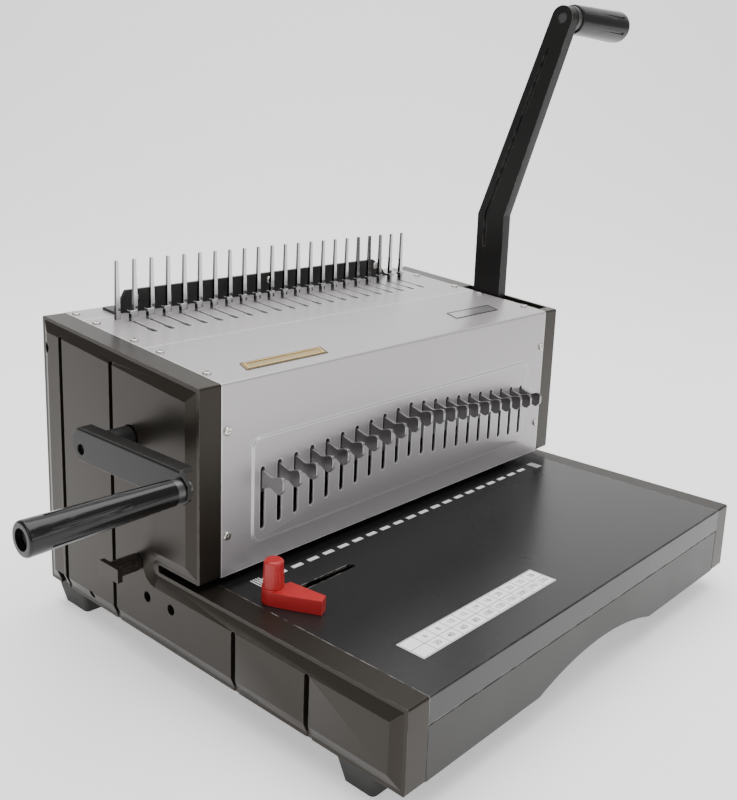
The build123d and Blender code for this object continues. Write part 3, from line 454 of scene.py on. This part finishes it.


# ---- End covers ---------------------------------------------------------------------------
# Moulded black plastic trays that close both ends, with a raised field, grooves and screw
# holes. Semi-gloss with a fine grain, with a painted highlight a little paler along the edges.
panel_plastic = finish(
    "panel_plastic", (0.009, 0.0076, 0.006), (0.016, 0.0135, 0.0108), 0.0, (0.3, 0.36), 0.0011, 0.00005,
    patch=0.09, shine=0.3)
warm_gloss = (1.0, 0.88, 0.76, 1)
panel_plastic.node_tree.nodes["Principled BSDF"].inputs["Specular Tint"].default_value = warm_gloss
# Painted highlight: a little paler along the edges.
wear_edges(panel_plastic, (0.09, 0.085, 0.08), 0.0008, 0.6)
softened("left_panel", "left_end_cover", "housing", panel_plastic, "black_plastic", 0.0007)
softened("right_panel", "right_end_cover", "housing", panel_plastic, "black_plastic", 0.0007)


# ---- Chip drawer --------------------------------------------------------------------------
# Folded steel tray behind a flat front with an arched finger cut, in satin black-brown
# enamel. It slides on the bottom pan between the frames.
drawer_enamel = finish(
    "drawer_enamel", (0.013, 0.0118, 0.011), (0.021, 0.019, 0.017), 0.0, (0.32, 0.4), 0.0014, 0.00005,
    shine=0.35)
wear_edges(drawer_enamel, (0.3, 0.28, 0.26), 0.0009, 0.5)
softened("chip_drawer", "arched_drawer", "drawer", drawer_enamel, "black_sheet", 0.0004)


# ---- Selector pulls -----------------------------------------------------------------------
# Stamped steel plates, one for each punch, that stick out of the slots with a butterfly
# grip. Dark plating with a painted near-white highlight on its edges and painted shade on its sides.
pull_plating = finish(
    "pull_plating", (0.26, 0.255, 0.255), (0.38, 0.375, 0.37), 0.9, (0.24, 0.34), 0.0012, 0.00003)
# Painted highlight near white along the edges, then painted shade on the sides that look along X.
wear_edges(pull_plating, (0.92, 0.91, 0.9), 0.0007, 1.0)
shade_sides(pull_plating, (0.26, 0.255, 0.255))
for number in range(1, 22):
    pull = f"pull_{number:02d}"
    softened(pull, pull + "_grip", pull + "_body", pull_plating, "dark_steel", 0.0004)


# ---- Tines, hooks and bracket -------------------------------------------------------------
# The fixed comb's polished steel tines taper upwards through the roof; the hooks in front
# slide to open the comb, and a black enamelled angle behind takes its spine.
tine_steel = finish(
    "tine_steel", (0.52, 0.52, 0.52), (0.7, 0.7, 0.69), 1.0, (0.1, 0.2), 0.0008, 0.00002,
    stretch=(1, 1, 0.15))
hook_chrome = finish(
    "hook_chrome", (0.62, 0.62, 0.63), (0.74, 0.74, 0.74), 1.0, (0.08, 0.16), 0.001, 0.00001)
bracket_enamel = finish(
    "bracket_enamel", (0.01, 0.01, 0.01), (0.02, 0.019, 0.018), 0.0, (0.28, 0.4), 0.0014, 0.00004)
wear_edges(bracket_enamel, (0.2, 0.19, 0.18), 0.0008, 0.5)
# Painted shade: the sides of the tines and hooks that look along X are painted dark.
shade_sides(tine_steel, (0.1, 0.1, 0.1))
shade_sides(hook_chrome, (0.16, 0.16, 0.16))
softened("tine_comb", "tapered_tines", "housing", tine_steel, "polished_steel", 0.0003)
dress(hook_chrome, "comb_hooks")
softened("rear_bracket", "spine_bracket", "housing", bracket_enamel, "black_sheet", 0.0004)


# ---- Press lever --------------------------------------------------------------------------
# Pressed steel channel in satin black, bent forward, with a shoulder bolt that carries a
# gloss black turning grip at its top.
lever_enamel = finish(
    "lever_enamel", (0.005, 0.0048, 0.0045), (0.010, 0.0092, 0.0085), 0.0, (0.3, 0.37), 0.0013, 0.00005,
    shine=0.26)
wear_edges(lever_enamel, (0.22, 0.21, 0.2), 0.0008, 0.5)
grip_plastic = finish(
    "grip_plastic", (0.004, 0.004, 0.004), (0.008, 0.008, 0.0075), 0.0, (0.14, 0.2), 0.002, 0.00003,
    shine=0.34)
softened("lever_arm", "channel_lever", "lever", lever_enamel, "lever_paint", 0.0008)
softened("lever_grip_bolt", "lever_bolt", "lever", black_steel, "bright_steel", 0.0005)
softened("lever_grip", "lever_handle_grip", "lever_handle", grip_plastic, "grip_plastic", 0.0005)


# ---- Comb crank ---------------------------------------------------------------------------
# Stamped arm on the stepped cross shaft, with a long turning grip held by a shoulder bolt.
# Satin black arm and gloss black grip.
shaft_black = finish(
    "shaft_black", (0.02, 0.02, 0.02), (0.04, 0.039, 0.038), 0.5, (0.3, 0.42), 0.0012, 0.00003)
softened("crank_shaft", "stepped_shaft", "crank", shaft_black, "bright_steel", 0.0005)
softened("crank_arm", "stamped_arm", "crank", lever_enamel, "lever_paint", 0.0006)
softened("crank_grip_bolt", "crank_bolt", "crank", black_steel, "bright_steel", 0.0005)
softened("crank_grip", "crank_handle_grip", "crank_handle", grip_plastic, "grip_plastic", 0.0005)


# ---- Side stop ----------------------------------------------------------------------------
# Red moulded stop that squares the paper, and the red fluted knob that clamps it in its
# slot. Satin plastic with a slight grain, paler where it is rubbed.
red_plastic = finish(
    "red_plastic", (0.34, 0.009, 0.011), (0.43, 0.015, 0.016), 0.0, (0.3, 0.42), 0.0012, 0.00005,
    patch=0.02)
wear_edges(red_plastic, (0.7, 0.09, 0.08), 0.0008, 0.5)
softened("side_stop", "red_stop", "stop", red_plastic, "red_plastic", 0.0007)
softened("stop_knob", "red_knob", "stop_clamp", red_plastic, "red_plastic", 0.0004)


# ---- Margin knob --------------------------------------------------------------------------
# Small knurled black knob with a thumb wing, on the end of the rod behind the paper slot.
# The same plastic as the end covers.
softened("margin_knob", "winged_knob", "margin", panel_plastic, "black_plastic", 0.0004)


# ---- Floor, lights and camera -------------------------------------------------------------
# A plain pale floor that curves up behind, a large soft light above, three smaller ones at
# the left and in front, and a camera in front of the left corner, a little above the roof.
def studio_floor():
    """A pale sweep: flat under the machine and turned up at the back in a wide curve."""
    front_end = -3.0
    bend_start = 1.2
    bend_radius = 1.5
    bend_steps = 12
    top = 4.0
    half_width = 5.0
    facing = radians(-47)
    profile = [(front_end, 0.0), (bend_start, 0.0)]
    for k in range(1, bend_steps + 1):
        angle = k * pi / 2 / bend_steps
        profile.append((bend_start + bend_radius * sin(angle), bend_radius * (1 - cos(angle))))
    profile.append((bend_start + bend_radius, top))
    shape = bmesh.new()
    lines = []
    for along, height in profile:
        lines.append([shape.verts.new((side * half_width, along, height)) for side in (-1, 1)])
    for a, b in zip(lines, lines[1:]):
        shape.faces.new((a[0], a[1], b[1], b[0]))
    shape.transform(Matrix.Rotation(facing, 4, "Z"))
    mesh = bpy.data.meshes.new("studio_floor")
    shape.to_mesh(mesh)
    shape.free()
    for face in mesh.polygons:
        face.use_smooth = True
    floor = bpy.data.objects.new("studio_floor", mesh)
    bpy.context.scene.collection.objects.link(floor)
    paper = finish(
        "floor_paper", (0.90, 0.90, 0.90), (0.92, 0.92, 0.92), 0.0, (0.7, 0.8), 0.01, 0.00001)
    glow = paper.node_tree.nodes["Principled BSDF"]
    glow.inputs["Emission Color"].default_value = (1, 1, 1, 1)
    glow.inputs["Emission Strength"].default_value = 0.5
    mesh.materials.append(paper)


def softbox(name, spot, target, size, power):
    """A rectangular soft light of a width and height, aimed at a point of the machine."""
    light = bpy.data.lights.new(name, "AREA")
    light.shape = "RECTANGLE"
    light.size, light.size_y = size
    light.energy = power
    lamp = bpy.data.objects.new(name, light)
    bpy.context.scene.collection.objects.link(lamp)
    lamp.location = spot
    lamp.rotation_euler = (Vector(target) - Vector(spot)).to_track_quat("-Z", "Y").to_euler()


studio_floor()
softbox("overhead_softbox", (0.1, 0.1, 2.2), (0, 0, 0.1), (2.4, 2.4), 84)
softbox("left_softbox", (-1.9, -0.2, 1.1), (0, 0, 0.15), (0.7, 1.2), 6)
softbox("front_softbox", (0.2, -2.1, 1.4), (0, 0, 0.15), (1.0, 0.7), 6)
softbox("low_front_softbox", (0.1, -1.6, 0.35), (0, 0, 0.12), (1.4, 0.35), 4)
world = bpy.data.worlds.new("studio")
world.use_nodes = True
world.node_tree.nodes["Background"].inputs["Color"].default_value = (1, 1, 1, 1)
world.node_tree.nodes["Background"].inputs["Strength"].default_value = 0.34
bpy.context.scene.world = world

lens = bpy.data.cameras.new("camera")
lens.sensor_width = 36
lens.lens = 44.04
lens.shift_x = 0.02093
lens.shift_y = -0.0796
lens.clip_start = 0.02
camera = bpy.data.objects.new("camera", lens)
bpy.context.scene.collection.objects.link(camera)
right = Vector((0.681653, -0.730961, 0.032331))
up = Vector((0.139188, 0.172927, 0.975050))
back = Vector((-0.718314, -0.660146, 0.219617))
turned = Matrix((right, up, back)).transposed().to_4x4()
camera.matrix_world = Matrix.Translation((-0.503869, -0.429608, 0.349581)) @ turned
bpy.context.scene.camera = camera

bpy.context.view_layer.update()
